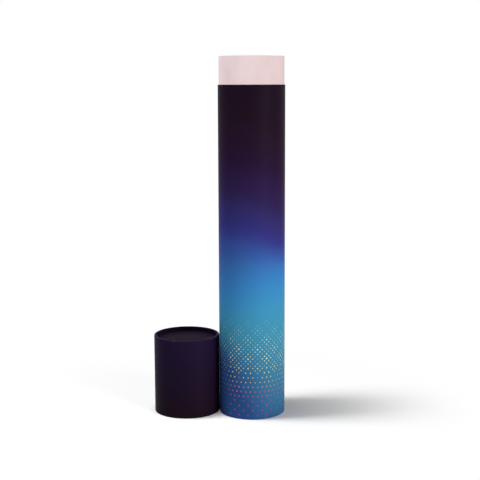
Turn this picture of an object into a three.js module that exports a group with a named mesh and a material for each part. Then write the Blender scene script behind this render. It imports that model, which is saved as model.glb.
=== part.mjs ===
import * as THREE from 'three';

// Shipping tube for a rolled sheet: a printed body with a white neck, and its loose lid standing beside it.
// Millimetres, +Z up. The origin is on the table, in the middle of the ground that body and lid cover.

// Driving dimensions
const OUTER_RADIUS = 36; // body and lid share one outside, so that the closed tube is smooth
const BODY_HEIGHT = 358.2; // from the foot to the shoulder that the lid's mouth sits on
const NECK_RISE = 29.8; // what the neck stands out above the shoulder
const LID_HEIGHT = 86; // from the mouth to the top of the rolled rim
const TABLE_GAP = 0.3; // air between body and lid where they stand side by side
const LID_SETBACK = 4; // how far the lid's axis stands behind the body's

// Paper and board
const PRINT_PAPER = 0.2; // printed and laminated wrap
const WHITE_PAPER = 0.2; // neck wrap, lining and inside discs
const BODY_PLY = 0.3; // one of two plies of wound board in the body's wall
const LID_PLY = 0.25; // one of two plies in the lid's wall, thinner so that the lid slides on the neck
const NECK_PLY = 0.6; // one of two plies in the neck tube
const DISC_BOARD = 1.5; // punched board of the end discs
const GLUE_LINE = 0.05; // glue between two layers
const NECK_GLUE = 0.1; // glue between the body's bore and the neck tube

// Rolled rim of a closed end: the wall curls in over a flat ring and rises as a lip to the end disc
const RIM_OUTER_ROUND = 1.3;
const RIM_FLAT = 0.5;
const RIM_INNER_ROUND = 0.8;
const RECESS = 4.8; // from the rim to the paper on the end disc

// Fineness of the round faces
const SEGMENTS = 48;
const ROUND_STEPS = 1; // a quarter round gets two facets for each step

// Radii of the layers, from the outside in
const PLY_DEPTH = PRINT_PAPER + GLUE_LINE;
const BODY_LINER_RADIUS = OUTER_RADIUS - PLY_DEPTH - BODY_PLY - GLUE_LINE;
const BODY_BORE_RADIUS = BODY_LINER_RADIUS - BODY_PLY;
const LID_LINER_RADIUS = OUTER_RADIUS - PLY_DEPTH - LID_PLY - GLUE_LINE;
const LID_BORE_RADIUS = LID_LINER_RADIUS - LID_PLY;
const NECK_RADIUS = BODY_BORE_RADIUS - NECK_GLUE;
const NECK_OUTER_PLY_RADIUS = NECK_RADIUS - WHITE_PAPER - GLUE_LINE;
const NECK_INNER_PLY_RADIUS = NECK_OUTER_PLY_RADIUS - NECK_PLY - GLUE_LINE;
const LINING_RADIUS = NECK_INNER_PLY_RADIUS - NECK_PLY - GLUE_LINE;
const CLEAR_RADIUS = LINING_RADIUS - WHITE_PAPER;

// Heights above the rim of a closed end
const LIP_END = RECESS - GLUE_LINE;
const DISC_FLOOR = RECESS + PRINT_PAPER + GLUE_LINE;
const DISC_TOP = DISC_FLOOR + DISC_BOARD;
const LINER_FLOOR = DISC_TOP + GLUE_LINE;
const NECK_TOP = BODY_HEIGHT + NECK_RISE;

// Finishes
const BODY_PRINT = { color: 0x2e4a86, roughness: 0.5, metalness: 0 };
const LID_PRINT = { color: 0x1e142a, roughness: 0.5, metalness: 0 };
const LABEL_PAPER = { color: 0x2a2028, roughness: 0.6, metalness: 0 };
const NECK_PAPER = { color: 0xe6d1d3, roughness: 0.7, metalness: 0 };
const LINING_PAPER = { color: 0xe9e4df, roughness: 0.75, metalness: 0 };
const GREY_BOARD = { color: 0xa39684, roughness: 0.9, metalness: 0 };

// Turns a closed outline of radius and height about the +Z axis
function turned(outline) {
  const geometry = new THREE.LatheGeometry(outline, SEGMENTS);
  geometry.rotateX(Math.PI / 2);
  return geometry;
}

// Straight wound layer, cut square at both ends
function sleeve(outer, thickness, bottom, top) {
  const inner = outer - thickness;
  return turned([
    new THREE.Vector2(outer, bottom),
    new THREE.Vector2(outer, top),
    new THREE.Vector2(inner, top),
    new THREE.Vector2(inner, bottom),
    new THREE.Vector2(outer, bottom),
  ]);
}

// Punched round of board or paper
function disc(radius, bottom, thickness) {
  return turned([
    new THREE.Vector2(0, bottom),
    new THREE.Vector2(radius, bottom),
    new THREE.Vector2(radius, bottom + thickness),
    new THREE.Vector2(0, bottom + thickness),
  ]);
}

// Line of a layer's face at a depth under the outside: up from the lip's end, round the rim and up the wall
function rolledFace(depth, wallTop) {
  const flatOuter = OUTER_RADIUS - RIM_OUTER_ROUND;
  const flatInner = flatOuter - RIM_FLAT;
  const lipRadius = flatInner - RIM_INNER_ROUND + depth;
  const line = new THREE.Path();
  line.moveTo(lipRadius, LIP_END);
  line.lineTo(lipRadius, RIM_INNER_ROUND);
  line.absarc(flatInner, RIM_INNER_ROUND, RIM_INNER_ROUND - depth, Math.PI, 1.5 * Math.PI);
  line.absarc(flatOuter, RIM_OUTER_ROUND, RIM_OUTER_ROUND - depth, 1.5 * Math.PI, 2 * Math.PI);
  line.lineTo(OUTER_RADIUS - depth, wallTop);
  return line.getPoints(ROUND_STEPS);
}

// Wound layer whose lower end is curled in to form the rolled rim
function rolledLayer(depth, thickness, wallTop) {
  const shown = rolledFace(depth, wallTop);
  const glued = rolledFace(depth + thickness, wallTop).reverse();
  return turned([...shown, ...glued, shown[0]]);
}

function piece(name, geometry, finish) {
  const mesh = new THREE.Mesh(geometry, new THREE.MeshStandardMaterial(finish));
  mesh.name = name;
  return mesh;
}

// Wall of the body: two plies of board under the printed wrap, cut square at the shoulder
function bodyWall() {
  const innerPly = sleeve(BODY_LINER_RADIUS, BODY_PLY, RIM_OUTER_ROUND, BODY_HEIGHT);
  const wall = new THREE.Group();
  wall.add(piece('base_wrap', rolledLayer(0, PRINT_PAPER, BODY_HEIGHT), BODY_PRINT));
  wall.add(piece('base_outer_ply', rolledLayer(PLY_DEPTH, BODY_PLY, BODY_HEIGHT), GREY_BOARD));
  wall.add(piece('base_inner_ply', innerPly, GREY_BOARD));
  return wall;
}

// Closed foot: a board disc behind the rim's lip, papered on both faces
function bodyFoot() {
  const footRadius = BODY_BORE_RADIUS - GLUE_LINE;
  const floorRadius = CLEAR_RADIUS - GLUE_LINE;
  const foot = new THREE.Group();
  foot.add(piece('foot_disc', disc(footRadius, DISC_FLOOR, DISC_BOARD), GREY_BOARD));
  foot.add(piece('foot_label', disc(footRadius, RECESS, PRINT_PAPER), LABEL_PAPER));
  foot.add(piece('floor_liner', disc(floorRadius, LINER_FLOOR, WHITE_PAPER), LINING_PAPER));
  return foot;
}

// Neck tube: it stands on the foot disc, lines the whole body and carries the lid where it stands out
function neckTube() {
  const rise = [LINER_FLOOR, NECK_TOP];
  const neck = new THREE.Group();
  neck.add(piece('neck_wrap', sleeve(NECK_RADIUS, WHITE_PAPER, ...rise), NECK_PAPER));
  neck.add(piece('neck_outer_ply', sleeve(NECK_OUTER_PLY_RADIUS, NECK_PLY, ...rise), GREY_BOARD));
  neck.add(piece('neck_inner_ply', sleeve(NECK_INNER_PLY_RADIUS, NECK_PLY, ...rise), GREY_BOARD));
  neck.add(piece('neck_lining', sleeve(LINING_RADIUS, WHITE_PAPER, ...rise), LINING_PAPER));
  return neck;
}

// Lid, made with its closed end down as the body is
function lidCup() {
  const discRadius = LID_BORE_RADIUS - GLUE_LINE;
  const innerPly = sleeve(LID_LINER_RADIUS, LID_PLY, RIM_OUTER_ROUND, LID_HEIGHT);
  const lid = new THREE.Group();
  lid.add(piece('lid_wrap', rolledLayer(0, PRINT_PAPER, LID_HEIGHT), LID_PRINT));
  lid.add(piece('lid_outer_ply', rolledLayer(PLY_DEPTH, LID_PLY, LID_HEIGHT), GREY_BOARD));
  lid.add(piece('lid_inner_ply', innerPly, LINING_PAPER));
  lid.add(piece('lid_disc', disc(discRadius, DISC_FLOOR, DISC_BOARD), GREY_BOARD));
  lid.add(piece('lid_label', disc(discRadius, RECESS, PRINT_PAPER), LABEL_PAPER));
  lid.add(piece('ceiling_liner', disc(discRadius, LINER_FLOOR, WHITE_PAPER), LINING_PAPER));
  return lid;
}

// Half of the way between the two axes, across and to the back
const spacing = 2 * OUTER_RADIUS + TABLE_GAP;
const halfBack = LID_SETBACK / 2;
const halfAcross = Math.sqrt((spacing / 2) ** 2 - halfBack ** 2);

const body = new THREE.Group();
body.add(bodyWall(), bodyFoot(), neckTube());
body.position.set(halfAcross, -halfBack, 0);

// The lid stands on its mouth, closed end up
const lid = lidCup();
lid.rotation.x = Math.PI;
lid.position.set(-halfAcross, halfBack, LID_HEIGHT);

const shippingTube = new THREE.Group();
shippingTube.add(body, lid);

export default shippingTube;
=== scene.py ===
import itertools
import math
from collections import namedtuple

import bmesh
import bpy
from mathutils import Matrix, Vector


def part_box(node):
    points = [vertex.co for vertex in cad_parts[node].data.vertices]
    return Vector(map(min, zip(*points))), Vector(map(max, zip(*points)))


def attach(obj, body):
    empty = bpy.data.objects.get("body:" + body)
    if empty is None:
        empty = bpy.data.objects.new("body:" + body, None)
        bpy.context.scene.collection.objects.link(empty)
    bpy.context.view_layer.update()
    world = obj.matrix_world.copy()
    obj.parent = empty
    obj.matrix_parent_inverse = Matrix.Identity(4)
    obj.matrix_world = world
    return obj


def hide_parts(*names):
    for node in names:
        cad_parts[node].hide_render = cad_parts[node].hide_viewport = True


# Looks of a round paper shipping tube and its loose lid, in metres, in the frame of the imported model

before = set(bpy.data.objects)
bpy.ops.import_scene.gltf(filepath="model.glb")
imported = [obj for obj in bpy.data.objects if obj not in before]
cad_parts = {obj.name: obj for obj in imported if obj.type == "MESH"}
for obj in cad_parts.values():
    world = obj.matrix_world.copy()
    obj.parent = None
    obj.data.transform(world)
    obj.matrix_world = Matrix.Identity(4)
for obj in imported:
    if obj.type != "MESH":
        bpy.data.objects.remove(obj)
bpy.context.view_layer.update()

MM = 0.001

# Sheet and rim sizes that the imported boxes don't give
GLUE = 0.05 * MM  # between two layers
NECK_GLUE = 0.1 * MM  # between the body's bore and the neck tube
RIM_ROUND = 1.3 * MM  # outer round of a rolled rim
RIM_FLAT = 0.5 * MM  # flat ring between the rim's two rounds
LIP_ROUND = 0.8 * MM  # inner round, which leads to the end disc
CUT_ROUND = 0.03 * MM  # softened corner of a knife cut

# Fineness of the round faces
SEGMENTS = 192
SEGMENT_ANGLE = math.tau / SEGMENTS
RIM_STEPS = 6  # facets across a rolled rim's round
CUT_STEPS = 2  # facets across a softened cut
SHARP_ANGLE = math.radians(35)  # an edge that turns by more than this stays crisp
TOUCH = 1e-6  # points nearer than this are at one place
PLANE_TOUCH = TOUCH / 10  # points nearer than this to a cutting plane lie on it

# Lap of a wrap, where its end is pasted over its start
LAP_WIDTH = 9 * MM
LAP_RISE = 0.15 * MM
LAP_STEP_RUN = 0.05 * MM  # how far the free edge's face leans
LAP_SEGMENT = 52  # where its free edge is, a little past the middle of the back
LAP_ANGLE = LAP_SEGMENT * SEGMENT_ANGLE
LAP_RAMP_ANGLE = 2 * SEGMENT_ANGLE  # over which its rise runs out

# One cup of the tube, closed at one end: its upright axis, its outside radius, and the levels of its
# rolled rim, its open mouth and the end of its lip
Cup = namedtuple("Cup", "axis outside rim mouth lip_end")


def radius_of(node_name):
    """Radius of a round node."""
    low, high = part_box(node_name)
    return (high.y - low.y) / 2


def axis_of(node_name):
    """Point where a round node's upright axis meets the table."""
    low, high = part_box(node_name)
    return Vector(((low.x + high.x) / 2, (low.y + high.y) / 2, 0))


def rise(node_name):
    """Lowest and highest level of a node."""
    low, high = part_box(node_name)
    return low.z, high.z


def thickness(node_name, inside, glue=GLUE):
    """Thickness of a layer that has glue between it and the node next inside."""
    return radius_of(node_name) - radius_of(inside) - glue


BODY = Cup(
    axis=axis_of("base_wrap"),
    outside=radius_of("base_wrap"),
    rim=rise("base_wrap")[0],
    mouth=rise("base_wrap")[1],
    lip_end=rise("foot_label")[0] - GLUE,
)
LID = Cup(
    axis=axis_of("lid_wrap"),
    outside=radius_of("lid_wrap"),
    rim=rise("lid_wrap")[1],
    mouth=rise("lid_wrap")[0],
    lip_end=rise("lid_label")[1] + GLUE,
)
NECK_TOP = rise("neck_wrap")[1]


# Shapes

def turned(outline, axis):
    """Spins a line of radius and height points once round an upright axis."""
    sheet = bmesh.new()
    points = [sheet.verts.new(axis + Vector((radius, 0, height))) for radius, height in outline]
    for start, end in zip(points, points[1:]):
        sheet.edges.new((start, end))
    bmesh.ops.spin(
        sheet,
        geom=sheet.verts[:] + sheet.edges[:],
        cent=axis,
        axis=(0, 0, 1),
        angle=math.tau,
        steps=SEGMENTS,
        use_merge=True,
    )
    bmesh.ops.recalc_face_normals(sheet, faces=sheet.faces[:])
    return sheet


def polar(point, axis):
    """Angle and radius of a point about an upright axis."""
    off = point - axis
    return math.atan2(off.y, off.x), math.hypot(off.x, off.y)


def outward(angle):
    """Level direction away from an axis at that angle."""
    return Vector((math.cos(angle), math.sin(angle), 0))


def round_ring(sheet, axis, radius, height, rounding, steps):
    """Rounds the circular edge at that radius and height."""

    def on_ring(vert):
        near = abs(polar(vert.co, axis)[1] - radius) < TOUCH
        return near and abs(vert.co.z - height) < TOUCH

    ring = [edge for edge in sheet.edges if on_ring(edge.verts[0]) and on_ring(edge.verts[1])]
    bmesh.ops.bevel(
        sheet,
        geom=ring,
        offset=rounding,
        affect="EDGES",
        segments=steps,
        profile=0.5,
        material=-1,
    )


def lap_share(angle, radius):
    """Share of the lap's rise at an angle: none, a sharp step, full, and a ramp back to none."""
    past_edge = (angle - LAP_ANGLE) * radius
    ramp = LAP_RAMP_ANGLE * radius
    if past_edge < -TOUCH or past_edge > LAP_WIDTH + ramp:
        return 0
    return min(1, (LAP_WIDTH + ramp - past_edge) / ramp)


def raise_lap(sheet, axis, outside):
    """Lifts the strip of a wrap that lies over its own start, with a cut step along the free edge."""
    step_foot = LAP_ANGLE - LAP_STEP_RUN / outside
    behind = [face for face in sheet.faces if face.calc_center_median().y - axis.y > outside / 2]
    edges = {edge for face in behind for edge in face.edges}
    verts = {vert for face in behind for vert in face.verts}
    bmesh.ops.bisect_plane(
        sheet,
        geom=behind + list(edges) + list(verts),
        dist=PLANE_TOUCH,
        plane_co=axis,
        plane_no=(-math.sin(step_foot), math.cos(step_foot), 0),
    )
    for face in sheet.faces:
        angle, radius = polar(face.calc_center_median(), axis)
        if step_foot < angle < LAP_ANGLE and radius > outside - RIM_ROUND:
            face.material_index = 1
    for vert in sheet.verts:
        angle, radius = polar(vert.co, axis)
        past_rim = (radius - outside + RIM_ROUND) / RIM_ROUND
        share = lap_share(angle, outside) * max(0, past_rim)
        vert.co += outward(angle) * LAP_RISE * share


def thicken(sheet, thick):
    """Gives a sheet its thickness on the side away from its normals."""
    bmesh.ops.solidify(sheet, geom=sheet.faces[:], thickness=thick)


def mark_cut_edge(sheet, height):
    """Gives the second material to the faces of a square cut at that height."""
    for face in sheet.faces:
        level = all(abs(vert.co.z - height) < TOUCH for vert in face.verts)
        if level:
            face.material_index = 1


def rolled_layer(cup, depth, thick, lapped=False):
    """Wound layer at a depth under the outside, curled in over the rim and up to the lip's end."""
    inward = 1 if cup.mouth > cup.rim else -1
    wall = cup.outside - depth
    rim = cup.rim + inward * depth
    lip = cup.outside - RIM_ROUND - RIM_FLAT - LIP_ROUND + depth
    outline = [(lip, cup.lip_end), (lip, rim), (wall, rim), (wall, cup.mouth)]
    sheet = turned(outline, cup.axis)
    round_ring(sheet, cup.axis, wall, rim, RIM_ROUND - depth, RIM_STEPS)
    round_ring(sheet, cup.axis, lip, rim, LIP_ROUND - depth, RIM_STEPS)
    if lapped:
        raise_lap(sheet, cup.axis, cup.outside)
    thicken(sheet, thick)
    mark_cut_edge(sheet, cup.mouth)
    return sheet


def sleeve(axis, radius, thick, low, high):
    """Straight wound layer with square cuts at both ends, softened at the top."""
    sheet = turned([(radius, low), (radius, high)], axis)
    thicken(sheet, thick)
    round_ring(sheet, axis, radius, high, CUT_ROUND, CUT_STEPS)
    round_ring(sheet, axis, radius - thick, high, CUT_ROUND, CUT_STEPS)
    return sheet


def punched_round(axis, radius, low, high):
    """Round of paper or board with a softened punched edge."""
    sheet = bmesh.new()
    bmesh.ops.create_circle(
        sheet,
        cap_ends=True,
        radius=radius,
        segments=SEGMENTS,
        matrix=Matrix.Translation(axis + Vector((0, 0, low))),
    )
    face = sheet.faces[:]
    raised = bmesh.ops.extrude_face_region(sheet, geom=face, use_keep_orig=True)["geom"]
    moved = [part for part in raised if isinstance(part, bmesh.types.BMVert)]
    bmesh.ops.translate(sheet, verts=moved, vec=(0, 0, high - low))
    bmesh.ops.recalc_face_normals(sheet, faces=sheet.faces[:])
    for height in (low, high):
        round_ring(sheet, axis, radius, height, CUT_ROUND, CUT_STEPS)
    return sheet


# Nodes and materials

WHITE = "#ffffff"
PAPER_IOR = 1.5  # of paper, board and film

# Sockets of a Mix node for colours, which share their names with its sockets for numbers
MIX_SHARE = 0
MIX_FIRST = 6
MIX_SECOND = 7
MIX_RESULT = 2

# Offset print under matt film
PRINT_GLOSS = 0.02  # specular level, very low because the white surround would veil the dark ink
INK_DRIFT = 80 * MM  # spacing of the slow rises and dips in the blend
INK_WANDER = 14 * MM  # height of those rises and dips
MOTTLE = 1.2 * MM  # really about 0.4 mm, drawn three times as coarse so that it shows
FILM_TOOTH = 0.6 * MM  # really about 0.2 mm, drawn three times as coarse so that it shows
FILM_TOOTH_DEPTH = 0.02 * MM
SCUFF_REACH = 1.6 * MM  # how far the scuffs reach from the cut mouth and the rolled rim
SCUFF_PATCH = 5 * MM  # size of a scuffed patch
SCUFFED_INK = "#4c4654"
WRAP_SEAM_PITCH = 95 * MM  # climb of the board's spiral in one turn
WRAP_SEAM_WIDTH = 1.5 * MM
WRAP_SEAM_HEIGHT = 0.04 * MM

# Blend of the body's print, partly the print's own tilt and partly painted light: its palest band lies
# wider on the right of the foot than on the left, which paints light on the right and shade low on the
# left beside the lid, and its dark top comes further down on the right, which paints shade at the right
# edge
BAND_SHARE = 0.27  # height of the palest band, as a share of the body's
FAN = 1.0  # how much the right edge widens the blend at the foot, as a share of its middle
FAN_LEAST = 0.4  # narrowest blend on the left, as a share of its middle
FAN_TOP = 190 * MM  # the fan dies out up to here
LEAN = 24 * MM  # how far the dark top comes down at the right edge
LEAN_LOW = 120 * MM  # the lean grows from here
LEAN_HIGH = 200 * MM  # to its full here
LEAN_BEND = 3  # power that keeps the lean to the right half

# Papers and boards of pressed fibre
PAPER_GLOSS = 0.2  # specular level of uncoated paper
LABEL_GLOSS = 0.014  # of the dyed label, very low for the same reason as the print's
BOARD_GLOSS = 0.15
FIBRE_LENGTH = 1.8 * MM  # clumps really about 0.6 mm long, drawn three times as large so that they show
FIBRE_SLENDER = 3  # length over height of a clump, which lies level
FIBRE_DEPTH = 0.05 * MM
CLOUD = 16 * MM  # size of a paler or darker patch
MATT_SPREAD = 0.06  # how far the roughness strays to either side
PAPER_SEAM_PITCH = 110 * MM  # climb of a wound paper's spiral in one turn
PAPER_SEAM_WIDTH = 0.5 * MM
PAPER_SEAM_DEPTH = 0.05 * MM
PULP_FLECK = 0.7 * MM  # size of a fleck in grey board
FUZZ_DEPTH = 0.08 * MM

# Hot-stamped foil
FOIL_DRIFT = 9 * MM  # spacing of its changes of tint
FOIL_WANDER = 16 * MM  # how far those changes reach up and down
PRESS_GRAIN = 0.5 * MM  # grain of the paper that the foil is pressed into
PRESS_DEPTH = 0.02 * MM


def linear(code):
    """Linear colour of an sRGB hex value."""
    channels = [int(code[i : i + 2], 16) / 255 for i in (1, 3, 5)]
    return [c / 12.92 if c <= 0.04045 else ((c + 0.055) / 1.055) ** 2.4 for c in channels] + [1]


def node(tree, kind, inputs=None, stops=None, **settings):
    """Adds a node with its settings, its colour stops, and its inputs as values or links."""
    made = tree.nodes.new(kind)
    for name, value in settings.items():
        setattr(made, name, value)
    for key, value in (inputs or {}).items():
        if isinstance(value, bpy.types.NodeSocket):
            tree.links.new(value, made.inputs[key])
        else:
            made.inputs[key].default_value = value
    if stops:
        elements = made.color_ramp.elements
        for _ in stops[2:]:
            elements.new(1)
        for element, (place, code) in zip(elements, stops):
            element.position = place
            element.color = linear(code)
    return made


def new_material(name, shader_inputs):
    """A material with only a Principled shader, and its node tree and shader."""
    material = bpy.data.materials.new(name)
    material.use_nodes = True
    tree = material.node_tree
    tree.nodes.clear()
    shader = node(tree, "ShaderNodeBsdfPrincipled", shader_inputs)
    node(tree, "ShaderNodeOutputMaterial", {"Surface": shader.outputs["BSDF"]})
    return material, tree, shader


def winding_seam(tree, seated, pitch, width):
    """Height of the faint spiral that a wound layer's butted edge leaves: 1 on it, 0 beside it."""
    parts = node(tree, "ShaderNodeSeparateXYZ", {"Vector": seated}).outputs
    angle = node(tree, "ShaderNodeMath", {0: parts["Y"], 1: parts["X"]}, operation="ARCTAN2")
    climb = node(tree, "ShaderNodeMath", {0: parts["Z"], 1: 1 / pitch}, operation="MULTIPLY")
    turn = node(
        tree,
        "ShaderNodeMath",
        {0: angle.outputs[0], 1: 1 / math.tau, 2: climb.outputs[0]},
        operation="MULTIPLY_ADD",
    )
    # Way to the nearest winding, in turns, which is half a turn at most
    away = node(tree, "ShaderNodeMath", {0: turn.outputs[0], 1: 0.5}, operation="PINGPONG")
    return node(
        tree,
        "ShaderNodeMapRange",
        {"Value": away.outputs[0], "From Min": 0, "From Max": width / pitch, "To Min": 1, "To Max": 0},
        interpolation_type="SMOOTHSTEP",
    ).outputs["Result"]


def blend_and_painted_light_height(tree, seated, height, cup, band, fan, lean):
    """Height up a print's blend: its palest band fans out to the right, painting light there and shade
    on the left, and its top leans down there, painting shade at the right edge.
    """
    offset = node(tree, "ShaderNodeSeparateXYZ", {"Vector": seated}).outputs["X"]
    across = node(tree, "ShaderNodeMath", {0: offset, 1: cup.outside}, operation="DIVIDE")

    lower = node(
        tree,
        "ShaderNodeMapRange",
        {"Value": height, "From Min": cup.rim, "From Max": FAN_TOP, "To Min": fan, "To Max": 0},
    )
    wide = node(
        tree,
        "ShaderNodeMath",
        {0: across.outputs[0], 1: lower.outputs["Result"], 2: 1},
        operation="MULTIPLY_ADD",
    )
    spread = node(tree, "ShaderNodeMath", {0: wide.outputs[0], 1: FAN_LEAST}, operation="MAXIMUM")
    from_band = node(tree, "ShaderNodeMath", {0: height, 1: band}, operation="SUBTRACT")
    drawn = node(
        tree,
        "ShaderNodeMath",
        {0: from_band.outputs[0], 1: spread.outputs[0]},
        operation="DIVIDE",
    )
    fanned = node(tree, "ShaderNodeMath", {0: drawn.outputs[0], 1: band}, operation="ADD")

    upper = node(
        tree,
        "ShaderNodeMapRange",
        {"Value": height, "From Min": LEAN_LOW, "From Max": LEAN_HIGH, "To Min": 0, "To Max": lean},
    )
    rightward = node(
        tree, "ShaderNodeMapRange", {"Value": across.outputs[0], "From Min": -1, "From Max": 1}
    )
    bend = node(
        tree,
        "ShaderNodeMath",
        {0: rightward.outputs["Result"], 1: LEAN_BEND},
        operation="POWER",
    )
    return node(
        tree,
        "ShaderNodeMath",
        {0: bend.outputs[0], 1: upper.outputs["Result"], 2: fanned.outputs[0]},
        operation="MULTIPLY_ADD",
    ).outputs[0]


def matt_film_print(name, cup, top, stops, fan=0, lean=0):
    """Offset-printed paper under matt film.

    It gives the eye a flat ink that melts from one colour to the next up the tube, a soft even sheen,
    the board's winding just telling through, and pale scuffs where the edges rub. Where the blend fans
    and leans, its ink is partly painted light and shade.
    """
    material, tree, shader = new_material(name, {"IOR": PAPER_IOR, "Specular IOR Level": PRINT_GLOSS})
    place = node(tree, "ShaderNodeTexCoord").outputs["Object"]
    seated = node(
        tree, "ShaderNodeMapping", {"Vector": place, "Location": -cup.axis}
    ).outputs["Vector"]
    height = node(tree, "ShaderNodeSeparateXYZ", {"Vector": place}).outputs["Z"]

    # Ink: its blend up the tube wanders a few millimetres up and down; where it fans and leans it
    # carries painted light on the right of the foot and painted shade on the left and at the top right
    # edge
    blend = blend_and_painted_light_height(tree, seated, height, cup, BAND_SHARE * top, fan, lean)
    drift = node(tree, "ShaderNodeTexNoise", {"Vector": place, "Scale": 1 / INK_DRIFT, "Detail": 1.0})
    wander = node(
        tree,
        "ShaderNodeMath",
        {0: drift.outputs["Fac"], 1: INK_WANDER, 2: blend},
        operation="MULTIPLY_ADD",
    )
    middle = INK_WANDER / 2
    share = node(
        tree,
        "ShaderNodeMapRange",
        {"Value": wander.outputs[0], "From Min": middle, "From Max": top + middle},
    )
    ink = node(tree, "ShaderNodeValToRGB", {"Fac": share.outputs["Result"]}, stops=stops)
    ink.color_ramp.interpolation = "CARDINAL"
    mottle = node(tree, "ShaderNodeTexNoise", {"Vector": place, "Scale": 1 / MOTTLE, "Detail": 3.0})
    tone = node(
        tree, "ShaderNodeMapRange", {"Value": mottle.outputs["Fac"], "To Min": 0.9, "To Max": 1.1}
    )
    toned = node(
        tree,
        "ShaderNodeHueSaturation",
        {"Value": tone.outputs["Result"], "Color": ink.outputs["Color"]},
    )

    # Scuffs: within a millimetre or two of the cut mouth and the rolled rim, broken up by noise
    to_rim = node(tree, "ShaderNodeMath", {0: height, 1: cup.rim}, operation="SUBTRACT")
    to_mouth = node(tree, "ShaderNodeMath", {0: height, 1: cup.mouth}, operation="SUBTRACT")
    rim_gap = node(tree, "ShaderNodeMath", {0: to_rim.outputs[0]}, operation="ABSOLUTE")
    mouth_gap = node(tree, "ShaderNodeMath", {0: to_mouth.outputs[0]}, operation="ABSOLUTE")
    gap = node(
        tree, "ShaderNodeMath", {0: rim_gap.outputs[0], 1: mouth_gap.outputs[0]}, operation="MINIMUM"
    )
    edge = node(
        tree,
        "ShaderNodeMapRange",
        {"Value": gap.outputs[0], "From Min": 0, "From Max": SCUFF_REACH, "To Min": 1, "To Max": 0},
    )
    rub = node(tree, "ShaderNodeTexNoise", {"Vector": place, "Scale": 1 / SCUFF_PATCH, "Detail": 4.0})
    rubbed = node(
        tree, "ShaderNodeMapRange", {"Value": rub.outputs["Fac"], "From Min": 0.56, "From Max": 0.74}
    )
    scuff = node(
        tree,
        "ShaderNodeMath",
        {0: edge.outputs["Result"], 1: rubbed.outputs["Result"]},
        operation="MULTIPLY",
    )
    worn = node(
        tree,
        "ShaderNodeMix",
        {
            MIX_SHARE: scuff.outputs[0],
            MIX_FIRST: toned.outputs["Color"],
            MIX_SECOND: linear(SCUFFED_INK),
        },
        data_type="RGBA",
    )

    # Film: a fine tooth over the board's spiral
    tooth = node(tree, "ShaderNodeTexNoise", {"Vector": place, "Scale": 1 / FILM_TOOTH, "Detail": 2.0})
    roughness = node(
        tree, "ShaderNodeMapRange", {"Value": mottle.outputs["Fac"], "To Min": 0.42, "To Max": 0.56}
    )
    grain = node(
        tree,
        "ShaderNodeBump",
        {"Height": tooth.outputs["Fac"], "Strength": 0.25, "Distance": FILM_TOOTH_DEPTH},
    )
    seam = winding_seam(tree, seated, WRAP_SEAM_PITCH, WRAP_SEAM_WIDTH)
    telling = node(
        tree,
        "ShaderNodeBump",
        {
            "Height": seam,
            "Strength": 0.3,
            "Distance": WRAP_SEAM_HEIGHT,
            "Normal": grain.outputs["Normal"],
        },
    )
    tree.links.new(worn.outputs[MIX_RESULT], shader.inputs["Base Color"])
    tree.links.new(roughness.outputs["Result"], shader.inputs["Roughness"])
    tree.links.new(telling.outputs["Normal"], shader.inputs["Normal"])
    return material


def pulp_paper(name, pale_code, deep_code, roughness, specular=PAPER_GLOSS, wound_on=None):
    """Uncoated or dyed paper made of pressed fibres.

    It gives the eye a cloudy, fibrous, quite matt sheet, a little uneven in tone. Where it is wound on
    a cup's axis, its butted edges leave a faint spiral.
    """
    material, tree, shader = new_material(name, {"IOR": PAPER_IOR, "Specular IOR Level": specular})
    place = node(tree, "ShaderNodeTexCoord").outputs["Object"]
    drawn_out = node(
        tree, "ShaderNodeMapping", {"Vector": place, "Scale": (1, 1, FIBRE_SLENDER)}
    ).outputs["Vector"]
    fibre = node(
        tree,
        "ShaderNodeTexNoise",
        {"Vector": drawn_out, "Scale": 1 / FIBRE_LENGTH, "Detail": 4.0, "Distortion": 0.8},
    )
    cloud = node(tree, "ShaderNodeTexNoise", {"Vector": place, "Scale": 1 / CLOUD, "Detail": 2.0})
    blend = node(
        tree,
        "ShaderNodeMath",
        {0: fibre.outputs["Fac"], 1: cloud.outputs["Fac"]},
        operation="MULTIPLY",
    )
    tone = node(
        tree,
        "ShaderNodeValToRGB",
        {"Fac": blend.outputs[0]},
        stops=[(0.12, deep_code), (0.36, pale_code)],
    )
    matt = node(
        tree,
        "ShaderNodeMapRange",
        {
            "Value": fibre.outputs["Fac"],
            "To Min": roughness - MATT_SPREAD,
            "To Max": roughness + MATT_SPREAD,
        },
    )
    grain = node(
        tree,
        "ShaderNodeBump",
        {"Height": fibre.outputs["Fac"], "Strength": 0.35, "Distance": FIBRE_DEPTH},
    )
    normal = grain.outputs["Normal"]
    if wound_on:
        seated = node(
            tree, "ShaderNodeMapping", {"Vector": place, "Location": -wound_on.axis}
        ).outputs["Vector"]
        seam = winding_seam(tree, seated, PAPER_SEAM_PITCH, PAPER_SEAM_WIDTH)
        butted = node(
            tree,
            "ShaderNodeBump",
            {"Height": seam, "Strength": 0.4, "Distance": -PAPER_SEAM_DEPTH, "Normal": normal},
        )
        normal = butted.outputs["Normal"]
    tree.links.new(tone.outputs["Color"], shader.inputs["Base Color"])
    tree.links.new(matt.outputs["Result"], shader.inputs["Roughness"])
    tree.links.new(normal, shader.inputs["Normal"])
    return material


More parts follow.
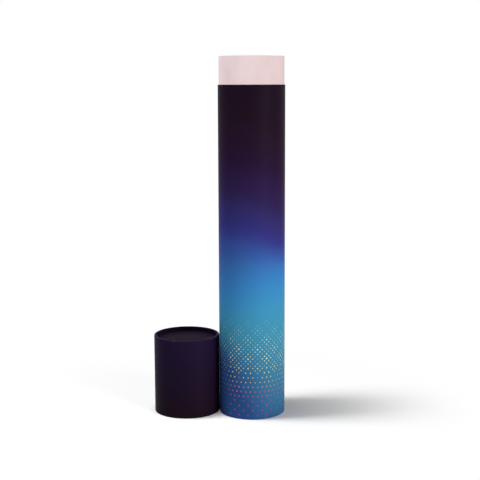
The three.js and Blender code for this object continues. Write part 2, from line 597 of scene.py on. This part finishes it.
def wound_grey_board(name):
    """Recycled grey board, wound and knife-cut.

    It gives the eye a dull, fuzzy edge with flecks of paler and darker pulp.
    """
    material, tree, shader = new_material(name, {"IOR": PAPER_IOR, "Specular IOR Level": BOARD_GLOSS})
    place = node(tree, "ShaderNodeTexCoord").outputs["Object"]
    fleck = node(tree, "ShaderNodeTexNoise", {"Vector": place, "Scale": 1 / PULP_FLECK, "Detail": 5.0})
    tone = node(
        tree,
        "ShaderNodeValToRGB",
        {"Fac": fleck.outputs["Fac"]},
        stops=[(0.3, "#857a6c"), (0.5, "#a99d8c"), (0.72, "#c9bfae")],
    )
    matt = node(
        tree, "ShaderNodeMapRange", {"Value": fleck.outputs["Fac"], "To Min": 0.82, "To Max": 0.95}
    )
    fuzz = node(
        tree,
        "ShaderNodeBump",
        {"Height": fleck.outputs["Fac"], "Strength": 0.5, "Distance": FUZZ_DEPTH},
    )
    tree.links.new(tone.outputs["Color"], shader.inputs["Base Color"])
    tree.links.new(matt.outputs["Result"], shader.inputs["Roughness"])
    tree.links.new(fuzz.outputs["Normal"], shader.inputs["Normal"])
    return material


def hot_stamped_foil(name, stops, low, high):
    """Metallised foil, hot-stamped into the print.

    It gives the eye small bright flecks that turn from crimson through copper and gold to champagne.
    """
    material, tree, shader = new_material(name, {"Metallic": 1.0})
    place = node(tree, "ShaderNodeTexCoord").outputs["Object"]
    height = node(tree, "ShaderNodeSeparateXYZ", {"Vector": place}).outputs["Z"]
    spark = node(tree, "ShaderNodeTexNoise", {"Vector": place, "Scale": 1 / FOIL_DRIFT, "Detail": 2.0})
    wander = node(
        tree,
        "ShaderNodeMath",
        {0: spark.outputs["Fac"], 1: FOIL_WANDER, 2: height},
        operation="MULTIPLY_ADD",
    )
    middle = FOIL_WANDER / 2
    share = node(
        tree,
        "ShaderNodeMapRange",
        {"Value": wander.outputs[0], "From Min": low + middle, "From Max": high + middle},
    )
    tint = node(tree, "ShaderNodeValToRGB", {"Fac": share.outputs["Result"]}, stops=stops)
    gloss = node(
        tree, "ShaderNodeMapRange", {"Value": spark.outputs["Fac"], "To Min": 0.22, "To Max": 0.42}
    )
    press = node(tree, "ShaderNodeTexNoise", {"Vector": place, "Scale": 1 / PRESS_GRAIN, "Detail": 2.0})
    uneven = node(
        tree,
        "ShaderNodeBump",
        {"Height": press.outputs["Fac"], "Strength": 0.3, "Distance": PRESS_DEPTH},
    )
    tree.links.new(tint.outputs["Color"], shader.inputs["Base Color"])
    tree.links.new(gloss.outputs["Result"], shader.inputs["Roughness"])
    tree.links.new(uneven.outputs["Normal"], shader.inputs["Normal"])
    return material


BODY_STOPS = [
    (0.0, "#284c85"),
    (0.14, "#366d98"),
    (0.27, "#4092b4"),
    (0.4, "#3a88c6"),
    (0.49, "#396ab2"),
    (0.56, "#36418f"),
    (0.66, "#312960"),
    (0.76, "#2a193f"),
    (0.88, "#231427"),
    (1.0, "#1e1121"),
]
LID_STOPS = [(0.0, "#190e19"), (0.5, "#1c1127"), (1.0, "#1e132f")]
FOIL_STOPS = [
    (0.0, "#a82c50"),
    (0.2, "#b84a58"),
    (0.33, "#c9a456"),
    (0.46, "#dcd484"),
    (0.62, "#e6ecc4"),
    (0.8, "#dcefe2"),
    (1.0, "#cfe8ec"),
]
LINING_TONES = ["#efeae6", "#ddd6d0"]
# The body's blend fans and leans: partly the print's own tilt, partly painted light on the right of the
# foot and painted shade low on the left and at the top right edge
body_print = matt_film_print("offset_print_and_painted_light_under_matt_film", BODY, BODY.mouth, BODY_STOPS, FAN, LEAN)
lid_print = matt_film_print("dark_print_under_matt_film", LID, LID.rim, LID_STOPS)
label_paper = pulp_paper("dyed_label_paper", "#190c1c", "#150918", roughness=0.6, specular=LABEL_GLOSS)
neck_paper = pulp_paper("uncoated_neck_paper", "#ead7da", "#e5d0d4", roughness=0.72, wound_on=BODY)
lining_paper = pulp_paper("uncoated_lining_paper", *LINING_TONES, roughness=0.78, wound_on=BODY)
round_paper = pulp_paper("punched_lining_paper", *LINING_TONES, roughness=0.78)
white_board = pulp_paper("white_lined_board", "#ece8e4", "#dcd6d0", roughness=0.8, wound_on=LID)
paper_core = pulp_paper("cut_paper_core", "#d9d4d2", "#b9b2b4", roughness=0.85)
grey_board = wound_grey_board("wound_grey_board")


# Pieces

def add_piece(name, sheet, body, slot, nodes, *materials):
    """Makes an object of a shape, rides it on its body and puts it in place of its CAD nodes."""
    mesh = bpy.data.meshes.new(name)
    sheet.to_mesh(mesh)
    sheet.free()
    mesh.shade_smooth()
    mesh.set_sharp_from_angle(angle=SHARP_ANGLE)
    for material in materials:
        mesh.materials.append(material)
    piece = bpy.data.objects.new(name, mesh)
    bpy.context.scene.collection.objects.link(piece)
    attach(piece, body)
    if nodes:
        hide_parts(*nodes)


def closed_end(cup, body, rounds):
    """Board disc behind a rolled rim's lip, papered on both faces."""
    for name, node_name, slot, material in rounds:
        disc = punched_round(cup.axis, radius_of(node_name), *rise(node_name))
        add_piece(name, disc, body, slot, [node_name], material)


def body_wall():
    """Printed wrap over two plies of board, curled in at the foot and cut square at the shoulder."""
    wrap = rolled_layer(BODY, 0, thickness("base_wrap", "base_outer_ply"), lapped=True)
    add_piece("printed_body_wrap", wrap, "base", "body_print", ["base_wrap"], body_print, paper_core)
    depth = BODY.outside - radius_of("base_outer_ply")
    ply = rolled_layer(BODY, depth, thickness("base_outer_ply", "base_inner_ply"))
    add_piece("body_outer_board", ply, "base", "grey_board", ["base_outer_ply"], grey_board, grey_board)
    thick = thickness("base_inner_ply", "neck_wrap", NECK_GLUE)
    liner = sleeve(BODY.axis, radius_of("base_inner_ply"), thick, *rise("base_inner_ply"))
    add_piece("body_inner_board", liner, "base", "grey_board", ["base_inner_ply"], grey_board)


def body_foot():
    """Closed end that the body stands on, dark below and white inside."""
    rounds = [
        ("foot_label_round", "foot_label", "label_paper", label_paper),
        ("foot_board_round", "foot_disc", "grey_board", grey_board),
        ("floor_paper_round", "floor_liner", "lining_paper", round_paper),
    ]
    closed_end(BODY, "base", rounds)


def neck_tube():
    """White-papered tube of two plies, which lines the body and stands out above the shoulder."""
    layers = [
        ("neck_paper_wrap", "neck_wrap", "neck_outer_ply", "neck_paper", neck_paper),
        ("neck_outer_board", "neck_outer_ply", "neck_inner_ply", "grey_board", grey_board),
        ("neck_inner_board", "neck_inner_ply", "neck_lining", "grey_board", grey_board),
        ("neck_paper_lining", "neck_lining", "floor_liner", "lining_paper", lining_paper),
    ]
    for name, node_name, inside, slot, material in layers:
        thick = thickness(node_name, inside)
        layer = sleeve(BODY.axis, radius_of(node_name), thick, *rise(node_name))
        add_piece(name, layer, "base", slot, [node_name], material)


def lid_cup():
    """Dark printed lid: curled rim at the top, papered disc in its recess, white board inside."""
    wrap = rolled_layer(LID, 0, thickness("lid_wrap", "lid_outer_ply"), lapped=True)
    add_piece("printed_lid_wrap", wrap, "lid", "lid_print", ["lid_wrap"], lid_print, paper_core)
    depth = LID.outside - radius_of("lid_outer_ply")
    ply = rolled_layer(LID, depth, thickness("lid_outer_ply", "lid_inner_ply"))
    add_piece("lid_outer_board", ply, "lid", "grey_board", ["lid_outer_ply"], grey_board, grey_board)
    thick = thickness("lid_inner_ply", "lid_disc")
    liner = sleeve(LID.axis, radius_of("lid_inner_ply"), thick, *rise("lid_inner_ply"))
    add_piece("lid_inner_board", liner, "lid", "white_board", ["lid_inner_ply"], white_board)
    rounds = [
        ("lid_label_round", "lid_label", "label_paper", label_paper),
        ("lid_board_round", "lid_disc", "grey_board", grey_board),
        ("ceiling_paper_round", "ceiling_liner", "lining_paper", round_paper),
    ]
    closed_end(LID, "lid", rounds)


# Stamped flecks: lozenges on a staggered lattice whose size swells and shrinks in an argyle, down to a
# pointed hem, and a sparser lattice of like lozenges under it
FLECK_LOW = 5 * MM
FLECK_HIGH = 124 * MM
FLECK_ROW = 2.6 * MM  # from one row to the next
FLECK_RADIUS = 1.1 * MM  # half height of the largest lozenge
FLECK_LEAST = 0.25 * MM  # smaller ones aren't stamped
FLECK_DEPTH = 0.08 * MM
FLECK_SIDES = 4
FLECK_SLENDER = 1.25  # height over width of a lozenge
FLECK_TAPER = 0.9  # outer face of a lozenge, as a share of the face in the print
LEAST_SWELL = 0.42  # size along the argyle's lines, as a share of that in its diamonds
DIAMONDS = 11  # argyle repeats round the tube
HALF_STEPS = 8  # half steps of the lattice across one repeat
REPEAT_ROWS = 8
HEM_POINT = 46 * MM
HEM_NOTCH = 62 * MM
HEM_SPACING = 2  # half steps from one lozenge to the next under the hem
HEM_FLECK = 0.92  # size of a lozenge under the hem, as a share of the largest
FOOT_ZONE = 24 * MM  # under this the lattice thins out once more
FOOT_SPACING = 4  # half steps from one lozenge to the next there
FADE_FROM = 72 * MM  # over this the flecks shrink away


def fleck_size(step, row, height):
    """Half height of the lozenge at a half step and row of the lattice, or 0 where none is stamped."""
    across = abs(step * 2 / HALF_STEPS - 1)
    down = abs(row % REPEAT_ROWS * 2 / REPEAT_ROWS - 1)
    hem = HEM_POINT + (HEM_NOTCH - HEM_POINT) * across
    if height < hem:
        spacing = FOOT_SPACING if height < FOOT_ZONE else HEM_SPACING
        stamped = row % 2 == 0 and (step + row // 2 * spacing // 2) % spacing == 0
        return FLECK_RADIUS * HEM_FLECK if stamped else 0
    if (step + row) % 2:
        return 0
    swell = LEAST_SWELL + (1 - LEAST_SWELL) * abs(1 - across - down)
    fade = min(1, (FLECK_HIGH - height) / (FLECK_HIGH - FADE_FROM))
    return FLECK_RADIUS * swell * fade


def stamp_flecks():
    """One lozenge for each place of a repeat, turned round the tube as often as the argyle repeats."""
    foil = bmesh.new()
    half_step = math.tau / (DIAMONDS * HALF_STEPS)
    upright = Matrix.Rotation(math.pi / 2, 4, "Y") @ Matrix.Diagonal((1, 1 / FLECK_SLENDER, 1, 1))
    rows = round((FLECK_HIGH - FLECK_LOW) / FLECK_ROW)
    for row, step in itertools.product(range(rows), range(HALF_STEPS)):
        height = FLECK_LOW + row * FLECK_ROW
        size = fleck_size(step, row, height)
        if size < FLECK_LEAST:
            continue
        # Half of a half step keeps the lozenges clear of the lap's free edge
        around = Matrix.Rotation(LAP_ANGLE + half_step * (0.5 + step), 4, "Z")
        out = Matrix.Translation((BODY.outside, 0, height))
        lozenge = bmesh.ops.create_cone(
            foil,
            cap_ends=True,
            segments=FLECK_SIDES,
            radius1=size,
            radius2=size * FLECK_TAPER,
            depth=FLECK_DEPTH,
            matrix=Matrix.Translation(BODY.axis) @ around @ out @ upright,
        )["verts"]
        faces = {face for vert in lozenge for face in vert.link_faces}
        edges = {edge for vert in lozenge for edge in vert.link_edges}
        bmesh.ops.spin(
            foil,
            geom=lozenge + list(edges) + list(faces),
            cent=BODY.axis,
            axis=(0, 0, 1),
            angle=math.tau * (DIAMONDS - 1) / DIAMONDS,
            steps=DIAMONDS - 1,
            use_duplicate=True,
        )
    for vert in foil.verts:
        angle = polar(vert.co, BODY.axis)[0]
        vert.co += outward(angle) * LAP_RISE * lap_share(angle, BODY.outside)
    bmesh.ops.recalc_face_normals(foil, faces=foil.faces[:])
    material = hot_stamped_foil("hot_stamped_foil", FOIL_STOPS, FLECK_LOW, FLECK_HIGH)
    add_piece("stamped_flecks", foil, "base", "foil", [], material)


body_wall()
body_foot()
neck_tube()
lid_cup()
stamp_flecks()


# Studio

WORLD_LEVEL = 0.10  # light from all round, as a share of white
FLOOR_HALF = 8.0  # half of the floor's width
FLOOR_GRID = 8  # faces along each side
CARD_TOOTH = 3 * MM
FLOOR_LIFT = 0.1  # white that the floor shows the camera on top of what lights it
FLOOR_SHOWN = 0.12  # up to here from the origin the floor shows its shadows in full
FLOOR_BLANK = 0.3  # from here on it is plain white
SHADOW_REACH = 0.2  # how far past the tube its shadow runs out
STRIP_LEVEL = 0.84
STRIP_DISTANCE = 1.3
STRIP_WIDTH = 0.18
STRIP_TURN = math.radians(7)  # the strip stands this far to the front of straight left
FILL_DISTANCE = 2.6
FILL_SIZE = 1.2
FILL_LEVEL = 0.66
FILL_TURN = math.radians(47)  # the fill stands this far to the right of straight ahead
FILL_CLIMB = math.radians(9)
FILL_WARM_WHITE = "#fffaf4"

# Camera, fitted to the outlines in the photograph
CAMERA_SENSOR = 36  # millimetres, as Blender takes it
CAMERA_LENS = 77.03  # millimetres too
CAMERA_BACK = 1.1068  # from the origin to the front
CAMERA_HEIGHT = 0.3567
CAMERA_PITCH = math.radians(8.52)  # downwards
CAMERA_YAW = math.radians(-0.664)
CAMERA_ROLL = math.radians(-0.213)


def white_rays(tree):
    """1 for rays that should meet a white surround: from the camera, a gloss or clear material."""
    path = node(tree, "ShaderNodeLightPath").outputs
    seen = node(
        tree,
        "ShaderNodeMath",
        {0: path["Is Camera Ray"], 1: path["Is Glossy Ray"]},
        operation="MAXIMUM",
    )
    return node(
        tree,
        "ShaderNodeMath",
        {0: seen.outputs[0], 1: path["Is Transmission Ray"]},
        operation="MAXIMUM",
    ).outputs[0]


def white_surround():
    """World that lights at its level and shows white behind everything."""
    world = bpy.data.worlds.new("studio_surround")
    world.use_nodes = True
    tree = world.node_tree
    tree.nodes.clear()
    level = node(
        tree,
        "ShaderNodeMath",
        {0: white_rays(tree), 1: 1 - WORLD_LEVEL, 2: WORLD_LEVEL},
        operation="MULTIPLY_ADD",
    )
    surround = node(
        tree,
        "ShaderNodeBackground",
        {"Color": linear(WHITE), "Strength": level.outputs[0]},
    )
    node(tree, "ShaderNodeOutputWorld", {"Surface": surround.outputs["Background"]})
    bpy.context.scene.world = world


def sweep_floor():
    """White card floor that keeps the shadows near the object and runs out to plain white."""
    sheet = bmesh.new()
    bmesh.ops.create_grid(sheet, x_segments=FLOOR_GRID, y_segments=FLOOR_GRID, size=FLOOR_HALF)
    mesh = bpy.data.meshes.new("card_floor")
    sheet.to_mesh(mesh)
    sheet.free()
    shader_inputs = {"Roughness": 0.9, "Specular IOR Level": 0.0}
    material, tree, shader = new_material("matt_white_card", shader_inputs)
    place = node(tree, "ShaderNodeTexCoord").outputs["Object"]
    tooth = node(tree, "ShaderNodeTexNoise", {"Vector": place, "Scale": 1 / CARD_TOOTH, "Detail": 2.0})
    tone = node(
        tree,
        "ShaderNodeValToRGB",
        {"Fac": tooth.outputs["Fac"]},
        stops=[(0.3, "#f7f7f7"), (0.7, "#fafafa")],
    )
    tree.links.new(tone.outputs["Color"], shader.inputs["Base Color"])
    seen = white_rays(tree)
    glow = node(tree, "ShaderNodeMath", {0: seen, 1: FLOOR_LIFT}, operation="MULTIPLY")
    lift = node(tree, "ShaderNodeEmission", {"Color": linear(WHITE), "Strength": glow.outputs[0]})
    lifted = node(tree, "ShaderNodeAddShader", {0: shader.outputs["BSDF"], 1: lift.outputs["Emission"]})
    away = node(tree, "ShaderNodeVectorMath", {0: place}, operation="LENGTH")
    far = node(
        tree,
        "ShaderNodeMapRange",
        {"Value": away.outputs["Value"], "From Min": FLOOR_SHOWN, "From Max": FLOOR_BLANK},
        interpolation_type="SMOOTHSTEP",
    )
    blank = node(tree, "ShaderNodeMath", {0: far.outputs["Result"], 1: seen}, operation="MULTIPLY")
    white = node(tree, "ShaderNodeEmission", {"Color": linear(WHITE), "Strength": 1.0})
    blended = node(
        tree,
        "ShaderNodeMixShader",
        {0: blank.outputs[0], 1: lifted.outputs["Shader"], 2: white.outputs["Emission"]},
    )
    output = next(item for item in tree.nodes if item.type == "OUTPUT_MATERIAL")
    tree.links.new(blended.outputs["Shader"], output.inputs["Surface"])
    mesh.materials.append(material)
    floor = bpy.data.objects.new("card_floor", mesh)
    bpy.context.scene.collection.objects.link(floor)


def softbox(name, aim, toward, distance, width, length, level, code):
    """Area lamp that gives its level, as a share of white, to a surface that faces it at its aim."""
    lamp = bpy.data.lights.new(name, "AREA")
    lamp.shape = "RECTANGLE"
    lamp.size = width
    lamp.size_y = length
    lamp.energy = level * math.pi**2 * distance**2
    lamp.color = linear(code)[:3]
    box = bpy.data.objects.new(name, lamp)
    box.location = aim + toward * distance
    box.rotation_euler = toward.to_track_quat("Z", "Y").to_euler()
    bpy.context.scene.collection.objects.link(box)


def studio_lamps():
    """Overhead strip that throws the shadow to the right, and a low fill to the right of the camera."""
    lean = math.atan(SHADOW_REACH / NECK_TOP) / 2
    left = Vector((-math.cos(STRIP_TURN), -math.sin(STRIP_TURN), 0)) * math.sin(lean)
    over = left + Vector((0, 0, math.cos(lean)))
    strip_length = 2 * STRIP_DISTANCE * math.tan(lean)
    softbox(
        "overhead_strip",
        aim=BODY.axis,
        toward=over,
        distance=STRIP_DISTANCE,
        width=STRIP_WIDTH,
        length=strip_length,
        level=STRIP_LEVEL,
        code=WHITE,
    )
    waist = BODY.axis + Vector((0, 0, NECK_TOP / 2))
    ahead = Vector((math.sin(FILL_TURN), -math.cos(FILL_TURN), 0)) * math.cos(FILL_CLIMB)
    fill = ahead + Vector((0, 0, math.sin(FILL_CLIMB)))
    softbox(
        "right_fill",
        aim=waist,
        toward=fill,
        distance=FILL_DISTANCE,
        width=FILL_SIZE,
        length=FILL_SIZE,
        level=FILL_LEVEL,
        code=FILL_WARM_WHITE,
    )


def photograph_camera():
    """Camera that frames the tube and its lid as the photograph does."""
    data = bpy.data.cameras.new("camera")
    data.sensor_width = CAMERA_SENSOR
    data.lens = CAMERA_LENS
    camera = bpy.data.objects.new("camera", data)
    level = Vector((math.cos(CAMERA_YAW), -math.sin(CAMERA_YAW), 0))
    ahead = Vector((math.sin(CAMERA_YAW), math.cos(CAMERA_YAW), 0))
    forward = ahead * math.cos(CAMERA_PITCH) - Vector((0, 0, math.sin(CAMERA_PITCH)))
    upright = level.cross(forward)
    right = level * math.cos(CAMERA_ROLL) + upright * math.sin(CAMERA_ROLL)
    up = upright * math.cos(CAMERA_ROLL) - level * math.sin(CAMERA_ROLL)
    turn = Matrix((right, up, -forward)).transposed().to_4x4()
    place = Vector((BODY.axis.x, -CAMERA_BACK, CAMERA_HEIGHT))
    camera.matrix_world = Matrix.Translation(place) @ turn
    bpy.context.scene.collection.objects.link(camera)
    bpy.context.scene.camera = camera


white_surround()
sweep_floor()
studio_lamps()
photograph_camera()
bpy.context.scene.view_settings.view_transform = "Standard"
